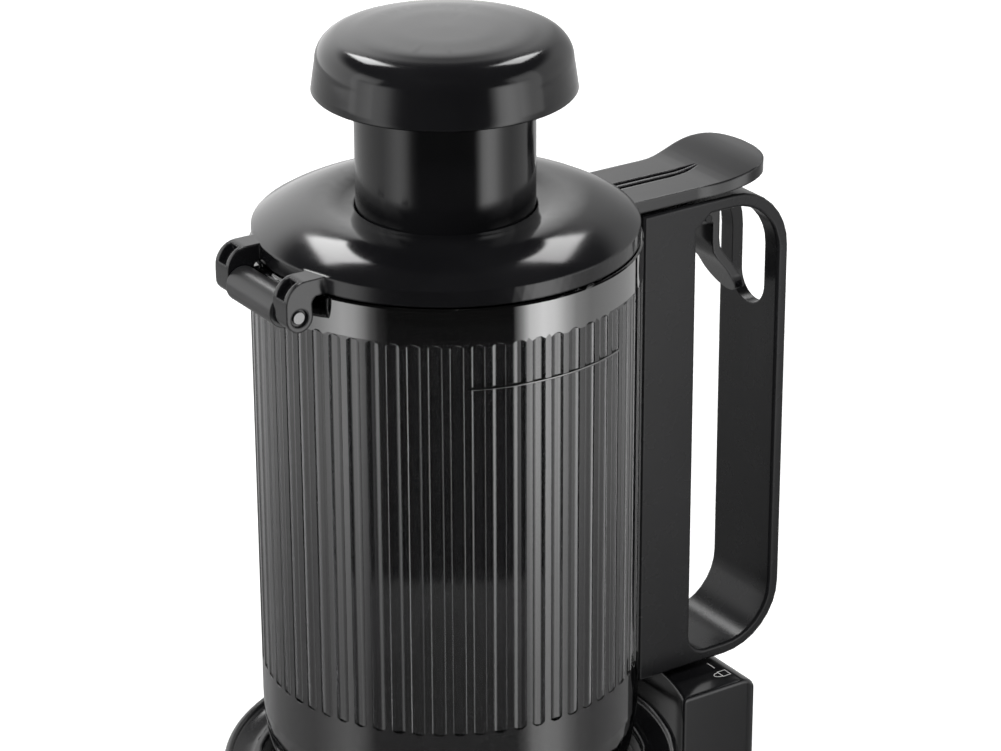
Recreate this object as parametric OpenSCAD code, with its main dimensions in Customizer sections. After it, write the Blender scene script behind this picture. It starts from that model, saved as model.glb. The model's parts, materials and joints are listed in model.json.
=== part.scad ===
// Upright cold press juicer: a geared motor base with a side tower, a juicing bowl with
// strainer and auger, a fluted twist-lock hopper with a loop handle, and a hinged lid whose
// mushroom-headed pusher slides in its centre.
// Axis of the bowl, auger and hopper is Z. The handle and tower are on +X, the lid hinge
// and the pulp outlet on -X, the juice spout on -Y. Z = 0 is the table.

/* [Heights] */
// Height of the motor base deck above the table
base_h = 104; // [102:0.5:112]
// Height of the juicing bowl from the deck to its rim
bowl_h = 99.5; // [98:0.5:108]
// Height of the hopper from the bowl rim to the hopper rim
hopper_h = 208.5; // [200:0.5:225]

/* [Hopper] */
// Outer diameter of the hopper
hopper_d = 140; // [138:0.5:142]
// Thickness of the hopper wall
hopper_wall = 3.2; // [2.8:0.1:3.6]
// Depth of the plain band under the hopper rim
rim_band = 12.9; // [11:0.1:16]
// Length of the fluted field
flute_len = 150.6; // [140:0.1:152]
// Number of flutes all round
flute_count = 60; // [48:1:64]
// Width of one flute
flute_w = 5.2; // [4:0.1:5.6]
// Depth of one flute
flute_depth = 0.7; // [0.4:0.1:1]
// Radius of the curve that draws the hopper in to its neck
shoulder_r = 98.6; // [90:0.1:110]
// How far the neck is drawn in from the hopper's outer wall
neck_draw = 10; // [9.5:0.1:11]
// Length of the hopper neck
neck_len = 12; // [11:0.5:13]
// Depth of the fill line under the rim
fill_line_drop = 29.4; // [26:0.1:40]

/* [Lid] */
// How far the lid's edge stands in from the hopper's outer wall
lid_inset = 1; // [0.5:0.1:2]
// Height of the lid's edge above the hopper rim
lid_edge_h = 6.9; // [6:0.1:8]
// Height of the lid's crest above the hopper rim
lid_crest_h = 14.3; // [13:0.1:16]
// Thickness of the lid's skin
lid_skin = 2.4; // [2:0.1:2.8]
// Clearance between the lid skirt and the hopper bore
skirt_gap = 3.3; // [3:0.1:5]
// Depth of the lid skirt below the hopper rim
skirt_h = 8; // [6:0.5:9]
// Radius of the lid's hinge ears
ear_r = 5.2; // [4.6:0.1:5.4]
// Width of one hinge ear
ear_w = 9; // [7:0.5:10]
// Width of the hopper's hinge knuckle
knuckle_w = 30; // [26:0.5:34]
// Radius of the hinge knuckle
knuckle_r = 6.4; // [5.8:0.1:6.5]
// Distance of the lid hinge pin outside the hopper wall
hinge_out = 4.8; // [4.6:0.1:5.4]
// Depth of the lid hinge pin under the hopper rim
hinge_drop = 6.4; // [6.2:0.1:6.6]
// Diameter of the lid hinge pin
hinge_pin_d = 4.2; // [3.4:0.1:4.6]
// Width of the lid's thumb lever
lever_w = 35.6; // [30:0.1:38]
// Thickness of the thumb lever
lever_t = 4.7; // [4:0.1:4.8]

/* [Pusher] */
// Diameter of the pusher tube
pusher_d = 64; // [60:0.5:66]
// Wall of the pusher tube
pusher_wall = 2.6; // [2:0.1:3.2]
// Diameter of the mushroom cap
cap_d = 93.6; // [90:0.5:97]
// Height of the mushroom cap
cap_h = 22.4; // [20:0.1:26]
// Height of the cap's lower edge above the hopper rim when the pusher is up
cap_lift = 55; // [50:0.5:60]

/* [Handle] */
// Width of the handle
handle_w = 36; // [32:0.5:38]
// Reach of the handle from the hopper axis
handle_reach = 140; // [136:0.5:146]
// Thickness of the handle's outer band
band_t = 4.8; // [4.4:0.1:5.4]
// Reach of the handle column from the hopper axis
column_x = 97.4; // [94:0.1:100]
// Drop of the handle's top under the hopper rim
handle_drop = 3.3; // [3:0.1:4]
// Outer corner radius of the handle
handle_r = 25.5; // [22:0.5:27]
// Width of the thumb slot in the outer band
slot_w = 20; // [18.6:0.2:22]
// Depth of the thumb slot's lower end under the hopper rim
slot_drop = 56.3; // [54:0.1:64]
// Clearance between the trigger and each side of the thumb slot
slot_gap = 1; // [0.8:0.1:2]
// Thickness of the trigger blade
trigger_t = 3.1; // [2.6:0.1:3.4]

/* [Bowl] */
// Outer diameter of the juicing bowl
bowl_d = 156; // [154:0.5:158]
// Thickness of the bowl wall
bowl_wall = 3; // [2.6:0.1:3.4]
// How far the bowl collar stands out from the bowl
flange_out = 7.7; // [7:0.1:8.5]
// Height of the bowl floor above the deck
floor_rise = 21; // [20.5:0.1:21.5]
// Bore of the juice spout
spout_bore = 16; // [14:0.5:17]
// Reach of the juice spout from the bowl axis
spout_reach = 116; // [112:0.5:124]
// Reach of the pulp outlet from the bowl axis
pulp_reach = 112; // [106:0.5:120]

/* [Strainer and auger] */
// Outer diameter of the strainer at its top
strainer_d = 112; // [110:0.5:113]
// Outer diameter of the strainer at its foot
strainer_foot_d = 100; // [96:0.5:102]
// Number of slots round the strainer
slot_count = 48; // [36:1:54]
// Height of the auger above its foot
auger_h = 134; // [126:1:140]

/* [Base] */
// Diameter of the round front of the base
base_d = 192; // [186:1:198]
// Width of the base's rear block
rear_w = 120; // [112:1:128]
// Reach of the base's rear block behind the bowl axis
rear_x = 124; // [122:0.5:130]
// Width of the tower
tower_w = 70; // [66:0.5:76]
// How far the tower's rear face stands in from the base's rear face
tower_inset = 5; // [3:0.5:7]
// Height of the tower above the bowl rim
tower_rise = 12.5; // [11:0.1:13]
// Thickness of the base's walls
base_wall = 3; // [2.4:0.1:3.4]
// Height of the rubber feet under the bottom cover
foot_h = 4; // [3:0.1:6]
// Diameter of the selector knob
knob_d = 30; // [26:0.5:32]
// Bore of the power inlet bush
inlet_bore = 8; // [6:0.1:9]

/* [Gear train] */
// Teeth of the motor pinion
motor_teeth = 12; // [11:1:13]
// Teeth of the first wheel
wheel_a_teeth = 60; // [57:1:62]
// Teeth of the first cluster's pinion
pinion_a_teeth = 12; // [11:1:13]
// Teeth of the second wheel
wheel_b_teeth = 48; // [46:1:50]
// Teeth of the second cluster's pinion
pinion_b_teeth = 12; // [11:1:13]
// Teeth of the drive wheel on the auger shaft
drive_teeth = 44; // [42:1:46]
// Module of the first gear pair
module_a = 0.8; // [0.8:0.01:0.82]
// Module of the second gear pair
module_b = 1; // [0.98:0.01:1.02]
// Module of the third gear pair
module_c = 1.5; // [1.48:0.01:1.52]
// Diameter of the drive shaft
shaft_d = 14; // [12:0.1:14.4]
// Diameter of the motor can
motor_d = 62; // [54:1:64]

/* [Hidden] */
$fn = 96;

// Gaps between pieces
gap = 0.3;          // between pieces of different bodies
run = 0.05;         // radial clearance of a running fit
eps = 0.01;

// Stacked levels
deck_z = base_h;
bowl_z = deck_z + gap;                 // underside of the bowl
rim_bowl_z = deck_z + bowl_h;          // rim of the bowl collar
rim_z = rim_bowl_z + hopper_h;         // rim of the hopper
tower_z = rim_bowl_z + tower_rise;     // top of the tower
handle_gap = 2.9;                      // handle over tower
handle_foot_z = tower_z + handle_gap;  // underside of the handle
cover_z = foot_h;                      // underside of the bottom cover
cover_t = 3;                           // thickness of the bottom cover
inside_z = cover_z + cover_t;          // top of the bottom cover

// Colours
black = [0.05, 0.05, 0.055];
satin = [0.10, 0.10, 0.105];
smoke = [0.30, 0.30, 0.31, 0.55];
steel = [0.75, 0.76, 0.78];
rubber = [0.16, 0.16, 0.17];
white_nylon = [0.88, 0.87, 0.82];
seal_grey = [0.45, 0.46, 0.47];

// ---------------------------------------------------------------- helpers
// Points along a circular arc
function arc(cx, cy, r, a0, a1, n = 8) =
    [for (i = [0:n]) [cx + r * cos(a0 + (a1 - a0) * i / n), cy + r * sin(a0 + (a1 - a0) * i / n)]];

// Smooth step from 0 to 1
function ease(t) = let (c = min(max(t, 0), 1)) c * c * (3 - 2 * c);

// A ring of square section
module ring(r_in, r_out, z0, z1) {
    translate([0, 0, z0]) difference() {
        cylinder(r = r_out, h = z1 - z0);
        translate([0, 0, -1]) cylinder(r = r_in, h = z1 - z0 + 2);
    }
}

// Extrudes an X-Z outline evenly to both sides of Y = 0
module along_y(width) {
    rotate([90, 0, 0]) translate([0, 0, -width / 2]) linear_extrude(width) children();
}

// A cylinder along Y between two values
module rod_y(r, y0, y1) {
    rotate([-90, 0, 0]) translate([0, 0, y0]) cylinder(r = r, h = y1 - y0);
}

// A cylinder along X between two values
module rod_x(r, x0, x1) {
    rotate([0, 90, 0]) translate([0, 0, x0]) cylinder(r = r, h = x1 - x0);
}

// A block between two corners
module block(a, b) {
    translate(a) cube(b - a);
}

// ---------------------------------------------------------------- gears
pressure_angle = 25;
addendum = 0.9;     // in modules
dedendum = 1.2;     // in modules
backlash = 0.16;    // mm taken off each tooth at the pitch circle

function involute(rb, r) = let (a = acos(rb / r)) tan(a) * 180 / PI - a;
function half_tooth(m, n, r) = let (rp = m * n / 2, rb = rp * cos(pressure_angle))
    (PI * m / 2 - backlash) / 2 / rp * 180 / PI + involute(rb, rp) - involute(rb, max(r, rb));

// Toothed disc from z0 to z1, turned by phase
module gear(m, n, z0, z1, phase = 0) {
    rp = m * n / 2;
    rb = rp * cos(pressure_angle);
    r_root = rp - dedendum * m;
    r_tip = rp + addendum * m;
    r_low = max(rb, r_root);
    flank = [for (i = [0:4]) r_low + (r_tip - r_low) * i / 4];
    half = [for (r = flank) half_tooth(m, n, r)];
    tooth = concat([[r_root, -half[0]]], [for (i = [0:4]) [flank[i], -half[i]]],
        [for (i = [4:-1:0]) [flank[i], half[i]]], [[r_root, half[0]]]);
    translate([0, 0, z0]) rotate(phase) linear_extrude(z1 - z0)
        polygon([for (k = [0:n - 1]) for (p = tooth)
            [p[0] * cos(p[1] + 360 * k / n), p[0] * sin(p[1] + 360 * k / n)]]);
}

// Gear centres and levels
centre_c = module_c * (pinion_b_teeth + drive_teeth) / 2;
centre_b = module_b * (pinion_a_teeth + wheel_b_teeth) / 2;
centre_a = module_a * (motor_teeth + wheel_a_teeth) / 2;
dir_ab = 60;                                      // direction from shaft B to shaft A
shaft_b = [-centre_c, 0];
shaft_a = shaft_b + centre_b * [cos(dir_ab), sin(dir_ab)];
motor_at = shaft_a + [centre_a, 0];
plate_t = 3;
plate_low_z = base_h - 50;                        // underside of the lower gear plate
plate_high_z = base_h - 12;                       // underside of the upper gear plate
wheel_a_z = plate_low_z + 5;
wheel_b_z = plate_low_z + 12;
drive_z = plate_low_z + 22;
gear_pin_r = 2;
motor_shaft_r = 2.5;
shaft_r = shaft_d / 2;
plate_r = base_d / 2 - 22;
post_r = 4;
post_places = [for (a = [31, 157, 221, 314]) (plate_r - 7.5) * [cos(a), sin(a)]];

// Hopper radii and levels
hopper_r = hopper_d / 2;
neck_r = hopper_r - neck_draw;
shoulder_z = rim_bowl_z + 30.5;                   // where the wall begins to draw in
step_w = 2;                                       // flat step between shoulder and neck
shoulder_c = hopper_r - shoulder_r;               // centre radius of the shoulder curve
step_a = acos((neck_r + step_w - shoulder_c) / shoulder_r);
step_z = shoulder_z - shoulder_r * sin(step_a);
neck_z = step_z - neck_len;
neck_in_r = neck_r - hopper_wall;
neck_in_a = acos((neck_in_r - shoulder_c) / (shoulder_r - hopper_wall));
flute_top_z = rim_z - rim_band;
flute_foot_z = flute_top_z - flute_len;
flute_r = (flute_w * flute_w / 4 + flute_depth * flute_depth) / 2 / flute_depth;
plain_half_a = 17;                                // half angle left plain beside the handle

// Bayonet between hopper neck and bowl collar
gasket_h = 2;
ledge_top_z = step_z - gasket_h - gap;
ledge_h = 4;
lug_h = 4;
lug_r = neck_r + 5.5;
lug_a = 24;
lug_angles = [75, 195, 315];
twist_a = 34;

// Hinge of the lid
hinge_x = -(hopper_r + hinge_out);
hinge_z = rim_z - hinge_drop;
hinge_pin_r = hinge_pin_d / 2;
ear_in_y = knuckle_w / 2 + gap + 0.1;
ear_out_y = ear_in_y + ear_w;

// Lid
lid_r = hopper_r - lid_inset;
lid_gap = 0.5;                                    // lid edge over hopper rim
skirt_r = hopper_r - hopper_wall - skirt_gap;
pusher_r = pusher_d / 2;
sleeve_in_r = pusher_r + 0.4;
sleeve_out_r = sleeve_in_r + 2.7;
sleeve_foot = -12;
wiper_h = 3;
lever_top = 3;
lever_reach = handle_reach - 22;                  // centre of the lever's round end

// Handle
handle_top_z = rim_z - handle_drop;
column_in_x = column_x - 23.8;
web_w = 24;
top_bar_t = 5.2;
foot_bar_t = 4.7;
screw_drops = [60, 150];
post_screw_r = 1.6;
boss_r = 5;
boss_x = column_x - 13.4;

// Trigger
trigger_w = slot_w - 2 * slot_gap;
trigger_x = column_x + 9.6;
trigger_z = rim_z - 13;
blade_x = trigger_x + 4.4;                        // front of the blade's straight part
blade_drop = 9.6;                                 // top of the blade under the rim
bend_drop = 24;                                   // where the blade begins to slope
tip_x = handle_reach - band_t - 6.3;              // tip of the blade inside the outer band
tip_drop = slot_drop - 6.9;                       // tip of the blade under the rim
trigger_pin_r = 1.5;
barrel_r = 3.4;
coil_half = 3.2;                                  // half width left for the spring
hook_drop = 2.4;                                  // top of the hook under the rim

// Bowl
bowl_r = bowl_d / 2;
bowl_draft = 2;
floor_t = 3;
floor_z = deck_z + floor_rise;
floor_top_z = floor_z + floor_t;
bowl_wall_top_z = rim_bowl_z - 8;
hub_r = 12;
hub_bore_r = shaft_r + 1.6;
hub_top_z = floor_top_z + 19;
duct_w = 18;
duct_h = 13;
duct_wall = 2.5;
duct_in_x = 30;
pulp_hole = 16;
spout_z = floor_top_z + 1 + spout_bore / 2;
spout_wall = 2.6;
cap_pin_y = -(spout_reach + 1.8);
cap_pin_z = spout_z + spout_bore / 2 + spout_wall + 3.4;
cap_pin_r = 1.2;
cap_r = spout_bore / 2 + spout_wall + 1.2;

// Strainer and auger
strainer_r = strainer_d / 2;
strainer_foot_r = strainer_foot_d / 2;
strainer_wall = 1.8;
strainer_top_z = neck_z - gap;
strainer_plate = 2;
auger_z = floor_top_z + strainer_plate + gap;
auger_top_z = auger_z + auger_h;
socket_z = hub_top_z + 2.5;
socket_h = 16;
hex_r = shaft_r;

// Base
base_r = base_d / 2;
rear_r = 14;
edge_r = 7;
collar_r = bowl_r + flange_out;
tower_x = rear_x - tower_inset;
tower_bore_r = collar_r + 3.9;
tower_r = 6;
crown_r = 9;
hub_deck_r = 18;
seal_r = 14;
seal_h = 6;
hub_rise = 4;
knob_x = rear_x - rear_r - 17;
knob_z = 58;
knob_r = knob_d / 2;
knob_len = 13;
spindle_r = 3;
inlet_z = 24;
boss_h = 30;
cover_screw_r = 1.6;
motor_r = motor_d / 2;
motor_h = plate_low_z - inside_z - 4;

// Places of the cover bosses
function cover_boss_places() = let (r = base_r - base_wall - 3.5, x = rear_x - base_wall - 12,
    y = rear_w / 2 - base_wall - 3.5)
    concat([for (a = [100, 180, 260]) r * [cos(a), sin(a)]], [[x, y], [x, -y]]);
foot_a = 131;
foot_places = [for (s = [-1, 1]) each [(base_r - 16.6) * [cos(foot_a), s * sin(foot_a)],
    [rear_x - 24, s * (rear_w / 2 - 22)]]];
board_at = [-base_r + 50, -base_r + 22];
board_size = [82, 50];
board_t = 1.6;
board_foot = 4;                                   // height of the bosses under the board

// ---------------------------------------------------------------- base
// Outline of the base seen from above, inset from the outside
module rear_plan(in) {
    x = rear_x - in;
    y = rear_w / 2 - in;
    r = rear_r - in;
    polygon(concat([[0, -y]], arc(x - r, -y + r, r, -90, 0), arc(x - r, y - r, r, 0, 90), [[0, y]]));
}

module tower_plan(in) {
    x = tower_x - in;
    y = tower_w / 2 - in;
    r = max(tower_r - in, 2);
    polygon(concat([[60, -y]], arc(x - r, -y + r, r, -90, 0), arc(x - r, y - r, r, 0, 90), [[60, y]]));
}

// The base as a solid body, inset from the outside and reaching down to foot_z
module base_body(in, foot_z) {
    top = deck_z - in;
    er = max(edge_r - in, 2);
    cr = max(crown_r - in, 2);
    tt = tower_z - in;
    rotate_extrude() polygon(concat([[0, foot_z], [base_r - in, foot_z]],
        arc(base_r - in - er, top - er, er, 0, 90, 6), [[0, top]]));
    intersection() {
        translate([0, 0, foot_z]) linear_extrude(top - foot_z) rear_plan(in);
        along_y(rear_w) polygon(concat([[0, foot_z], [rear_x - in, foot_z]],
            arc(rear_x - in - er, top - er, er, 0, 90, 6), [[0, top]]));
    }
    difference() {
        intersection() {
            translate([0, 0, top - 20]) linear_extrude(tt - top + 20) tower_plan(in);
            along_y(tower_w) polygon(concat([[60, top - 20], [tower_x - in, top - 20]],
                arc(tower_x - in - cr, tt - cr, cr, 0, 90, 8), [[60, tt]]));
        }
        translate([0, 0, top]) cylinder(r = tower_bore_r + in, h = tt - top + 1);
    }
}

module base_housing() color(black) difference() {
    union() {
        difference() {
            base_body(0, cover_z);
            base_body(base_wall, cover_z - 1);
        }
        cylinder_boss(hub_deck_r, deck_z - base_wall, deck_z + hub_rise);
        for (p = post_places) translate(p) cylinder_boss(post_r + 1, plate_high_z + plate_t, deck_z - 1);
        for (p = cover_boss_places()) translate(p) cylinder_boss(post_r + 1, inside_z, inside_z + boss_h);
    }
    translate([0, 0, deck_z - base_wall - 1]) cylinder(r = shaft_r + 1, h = 20);
    translate([0, 0, deck_z + hub_rise - seal_h]) cylinder(r = seal_r, h = seal_h + 1);
    for (p = cover_boss_places()) translate([p[0], p[1], inside_z - 1]) cylinder(r = cover_screw_r, h = 13);
    translate([knob_x, 0, knob_z]) rod_y(spindle_r + 1, -rear_w / 2 - 1, -rear_w / 2 + base_wall + 1);
    translate([0, 0, inlet_z]) rod_x(inlet_bore / 2 + 2.7, rear_x - base_wall - 1, rear_x + 1);
    for (i = [0:5]) block([rear_x - base_wall - 1, -28, 46 + i * 7], [rear_x + 1, 28, 49 + i * 7]);
}

module cylinder_boss(r, z0, z1) {
    translate([0, 0, z0]) cylinder(r = r, h = z1 - z0);
}

module bottom_cover() color(satin) difference() {
    union() {
        translate([0, 0, cover_z]) linear_extrude(cover_t) cover_plan();
        for (x = [6, board_size[0] - 6], y = [6, board_size[1] - 6])
            translate(board_at + [x, y]) cylinder_boss(3, inside_z, inside_z + board_foot);
    }
    for (p = cover_boss_places()) translate(p) {
        cylinder_boss(cover_screw_r + 0.2, cover_z - 1, inside_z + 1);
        cylinder_boss(3.2, cover_z - 1, cover_z + 1.8);
    }
    for (p = foot_places) translate(p) cylinder_boss(2.5, cover_z - 1, inside_z + 1);
    for (i = [-3:3]) block([-16, 26 + i * 7, cover_z - 1], [20, 29 + i * 7, inside_z + 1]);
}

module cover_plan() {
    circle(r = base_r - base_wall - 0.2);
    rear_plan(base_wall + 0.2);
}

module rubber_feet() color(rubber) for (p = foot_places) translate(p) {
    rotate_extrude() polygon([[0, 0], [8, 0], [9, 1], [9, foot_h], [0, foot_h]]);
    cylinder_boss(2.5, foot_h - eps, foot_h + cover_t);
}

module cover_screws() color(steel) for (p = cover_boss_places()) translate(p) {
    cylinder_boss(3, cover_z + 0.2, cover_z + 1.8);
    cylinder_boss(cover_screw_r, cover_z + 1.7, cover_z + 14);
}

// ---------------------------------------------------------------- drive
module motor_can() color(steel) translate([motor_at[0], motor_at[1], plate_low_z - motor_h]) difference() {
    rotate_extrude() polygon([[0, 2], [10, 2], [10, 0], [motor_r - 3, 0], [motor_r, 3],
        [motor_r, motor_h - 4], [motor_r - 4, motor_h], [0, motor_h]]);
    translate([0, 0, motor_h - 12]) cylinder(r = motor_shaft_r + run, h = 20);
    for (a = [0:45:315]) rotate(a) translate([motor_r - 13, 0, motor_h - 3]) cylinder(r = 3, h = 5);
}

module motor_pinion() color(steel) translate([motor_at[0], motor_at[1], 0]) {
    cylinder_boss(motor_shaft_r, plate_low_z - 10, wheel_a_z + 7);
    gear(module_a, motor_teeth, wheel_a_z - 0.5, wheel_a_z + 6.5, 180);
}

module gear_cluster_a() color(white_nylon) translate([shaft_a[0], shaft_a[1], 0]) difference() {
    union() {
        gear(module_a, wheel_a_teeth, wheel_a_z, wheel_a_z + 5.5, 180 / wheel_a_teeth);
        gear(module_b, pinion_a_teeth, wheel_a_z + 5, drive_z - 1, dir_ab + 180);
        cylinder_boss(4, plate_low_z + plate_t + gap, wheel_a_z + 1);
    }
    cylinder_boss(gear_pin_r + run, plate_low_z, drive_z);
}

module gear_cluster_b() color(white_nylon) translate([shaft_b[0], shaft_b[1], 0]) difference() {
    union() {
        gear(module_b, wheel_b_teeth, wheel_b_z, wheel_b_z + 8, dir_ab + 180 / wheel_b_teeth);
        gear(module_c, pinion_b_teeth, wheel_b_z + 7, plate_high_z - 2, 0);
        cylinder_boss(4.4, plate_low_z + plate_t + gap, wheel_b_z + 1);
        cylinder_boss(4.4, plate_high_z - 3, plate_high_z - gap);
    }
    cylinder_boss(gear_pin_r + run, plate_low_z, plate_high_z + 1);
}

module drive_gear() color(white_nylon) difference() {
    union() {
        gear(module_c, drive_teeth, drive_z, drive_z + 12, 180 + 180 / drive_teeth);
        cylinder_boss(12, drive_z - 4, plate_high_z - gap);
    }
    cylinder_boss(shaft_r, drive_z - 5, plate_high_z);
    for (a = [0:60:300]) rotate(a) translate([module_c * drive_teeth / 2 - 12, 0])
        cylinder_boss(5, drive_z - 1, drive_z + 13);
}

module drive_shaft() color(steel) {
    cylinder_boss(shaft_r, plate_low_z, hub_top_z + 2);
    translate([0, 0, hub_top_z + 1]) cylinder(r = hex_r, h = socket_h, $fn = 6);
}

module gear_plate(z, holes) difference() {
    cylinder_boss(plate_r, z, z + plate_t);
    cylinder_boss(shaft_r + run, z - 1, z + plate_t + 1);
    for (h = holes) translate([h[0], h[1]]) cylinder_boss(h[2], z - 1, z + plate_t + 1);
    for (p = post_places) translate(p) cylinder_boss(2, z - 1, z + plate_t + 1);
    for (a = [250, 285, 320]) rotate(a) translate([plate_r - 20, 0])
        cylinder_boss(9, z - 1, z + plate_t + 1);
}

module gear_plate_lower() color(steel) gear_plate(plate_low_z,
    [[shaft_a[0], shaft_a[1], gear_pin_r], [shaft_b[0], shaft_b[1], gear_pin_r],
     [motor_at[0], motor_at[1], motor_shaft_r + 4]]);

module gear_plate_upper() color(steel) gear_plate(plate_high_z, [[shaft_b[0], shaft_b[1], gear_pin_r]]);

module gear_pins() color(steel) {
    translate(shaft_a) cylinder_boss(gear_pin_r, plate_low_z, drive_z - 0.5);
    translate(shaft_b) cylinder_boss(gear_pin_r, plate_low_z, plate_high_z + plate_t);
}

module plate_posts() color(steel) for (p = post_places) translate(p) {
    cylinder_boss(post_r, plate_low_z + plate_t, plate_high_z);
    cylinder_boss(2, plate_low_z, plate_high_z + plate_t);
}

module control_board() color([0.1, 0.35, 0.2]) {
    translate([board_at[0], board_at[1], inside_z + board_foot]) {
        cube([board_size[0], board_size[1], board_t]);
        translate([16, 24, 0]) cylinder(r = 8, h = 24);
        translate([36, 10, 0]) cube([18, 24, 18]);
        translate([62, 14, 0]) cube([12, 26, 10]);
    }
}

module selector_switch() color(satin) difference() {
    y = -rear_w / 2 + base_wall;
    block([knob_x - 12, y, knob_z - 12], [knob_x + 12, y + 18, knob_z + 12]);
    translate([knob_x, 0, knob_z]) rod_y(spindle_r + run, y - 1, y + 13);
}

module selector_knob() color(satin) translate([knob_x, -rear_w / 2 - gap, knob_z]) rotate([90, 0, 0]) {
    rotate_extrude() polygon(concat([[0, 0], [knob_r, 0], [knob_r, 2.5], [knob_r - 1.5, 3.5]],
        arc(knob_r - 4, knob_len - 2.2, 2.2, 0, 90, 5), [[0, knob_len]]));
    difference() {
        translate([-2, 0, knob_len - 1]) cube([4, knob_r - 3, 2.4]);
        translate([0, 0, knob_len - 2]) cylinder(r = 3, h = 5);
    }
    translate([0, 0, -14]) cylinder(r = spindle_r, h = 15);
}

module inlet_bush() color(rubber) translate([0, 0, inlet_z]) rotate([0, 90, 0])
    rotate_extrude() translate([0, rear_x]) {
        r = inlet_bore / 2;
        polygon([[r, -5], [r + 5, -5], [r + 5, -base_wall], [r + 2.7, -base_wall], [r + 2.7, 0],
            [r + 5, 0], [r + 4, 2.4], [r, 2.8]]);
    }

module shaft_seal() color(rubber)
    rotate_extrude() translate([0, deck_z + hub_rise - seal_h]) polygon([[shaft_r + run, 0], [seal_r, 0],
        [seal_r, seal_h], [seal_r - 3, seal_h], [shaft_r + 3, seal_h - 2.4], [shaft_r + run, seal_h - 1]]);

module reed_switch() color(satin) {
    x = tower_bore_r + base_wall + 1;
    z = tower_z - base_wall;
    block([x, -8, z - 4], [x + 8, 8, z]);
    block([x + 2, -5, z - 7], [x + 6, 5, z - 3.9]);
}

// ---------------------------------------------------------------- juicing bowl
module juicing_bowl() color(smoke) difference() {
    union() {
        rotate_extrude() polygon([[bowl_r - bowl_draft - bowl_wall, bowl_z], [bowl_r - bowl_draft, bowl_z],
            [bowl_r, bowl_wall_top_z], [bowl_r - bowl_wall, bowl_wall_top_z],
            [bowl_r - bowl_draft - bowl_wall + 0.5, floor_top_z], [0, floor_top_z], [0, floor_z],
            [bowl_r - bowl_draft - bowl_wall + 0.4, floor_z]]);
        cylinder_boss(hub_r, deck_z + hub_rise + 1, hub_top_z);
        block([-pulp_reach, -duct_w / 2 - duct_wall, floor_z - duct_h - duct_wall],
            [-duct_in_x + duct_wall, duct_w / 2 + duct_wall, floor_z + eps]);
        block([-pulp_reach, -duct_w / 2 - duct_wall, floor_z - eps],
            [-bowl_r + bowl_wall, duct_w / 2 + duct_wall, floor_z + duct_wall]);
        translate([0, 0, spout_z])
            rod_y(spout_bore / 2 + spout_wall, -spout_reach, -bowl_r + bowl_wall + 1);
        for (s = [-1, 1]) translate([s * 6, 0, 0]) spout_ear();
    }
    cylinder_boss(hub_bore_r, deck_z, hub_top_z + 1);
    block([-pulp_reach - 1, -duct_w / 2, floor_z - duct_h], [-duct_in_x, duct_w / 2, floor_z]);
    block([-duct_in_x - pulp_hole, -duct_w / 2, floor_z - 1], [-duct_in_x, duct_w / 2, floor_top_z + 1]);
    block([-66, -6, floor_z - duct_h - duct_wall - 1], [-50, 6, floor_z - duct_h + 1]);
    translate([0, 0, spout_z]) rod_y(spout_bore / 2, -spout_reach - 1, -bowl_r + bowl_wall + 8);
    translate([0, cap_pin_y, cap_pin_z]) rod_x(cap_pin_r, -10, 10);
}

// One ear of the juice cap's hinge
module spout_ear() {
    translate([-1.5, 0, 0]) {
        translate([0, cap_pin_y, cap_pin_z]) rod_x(2.8, 0, 3);
        block([0, cap_pin_y, cap_pin_z - 2], [3, -spout_reach + 10, cap_pin_z + 2.8]);
        block([0, -spout_reach, spout_z + spout_bore / 2 + 0.5], [3, -spout_reach + 10, cap_pin_z]);
    }
}

module bowl_collar() color(black) translate([0, 0, rim_bowl_z]) difference() {
    r = collar_r;
    in = bowl_r - bowl_wall - gap;
    lt = ledge_top_z - rim_bowl_z;
    rotate_extrude() polygon(concat(arc(r - 1.3, -1.3, 1.3, -60, 200, 8),
        [[r - 2.9, -2.3], [r - 5.7, -3.3], [r - 8.7, -3.9], [r - 10.1, -4],
         [r - 10.7, -3], [r - 12.2, -3], [r - 13.7, -4.2], [r - 13.7, lt], [neck_r + 0.4, lt],
         [neck_r + 0.4, lt - ledge_h], [in - 4, lt - ledge_h], [in, lt - ledge_h + 2], [in, -8],
         [bowl_r + 0.05, -8], [bowl_r + 0.05, -13], [bowl_r + 2.5, -13], [r - 2, -6]]));
    for (a = lug_angles) rotate(a + twist_a - lug_a / 2 - 2) translate([0, 0, lt - ledge_h - 1])
        rotate_extrude(angle = lug_a + 4) translate([neck_r - 1, 0])
            square([lug_r - neck_r + 1.8, ledge_h + 2]);
}

module bowl_seal() color(seal_grey)
    rotate_extrude() translate([0, hub_top_z]) polygon([[shaft_r + run, -8], [hub_bore_r, -8],
        [hub_bore_r, 0], [hub_r, 0], [hub_r, 1], [shaft_r + run, 1.6]]);

module strainer() color(steel) difference() {
    h = strainer_top_z - floor_top_z;
    slot_foot = 7;
    slot_h = h - 14;
    translate([0, 0, floor_top_z]) difference() {
        rotate_extrude() polygon([[hub_r + 0.6, 0], [strainer_foot_r, 0], [strainer_r, h - 3],
            [strainer_r + 4, h - 3], [strainer_r + 4, h], [strainer_r - strainer_wall, h],
            [strainer_foot_r - strainer_wall, strainer_plate], [hub_r + 0.6, strainer_plate]]);
        for (i = [0:slot_count - 1]) rotate((i + 0.5) * 360 / slot_count)
            translate([strainer_foot_r - strainer_wall - 2, -0.6, slot_foot])
                cube([strainer_r - strainer_foot_r + 8, 1.2, slot_h]);
    }
    block([-duct_in_x - pulp_hole, -duct_w / 2, floor_top_z - 1],
        [-duct_in_x, duct_w / 2, floor_top_z + strainer_plate + 1]);
}

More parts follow.
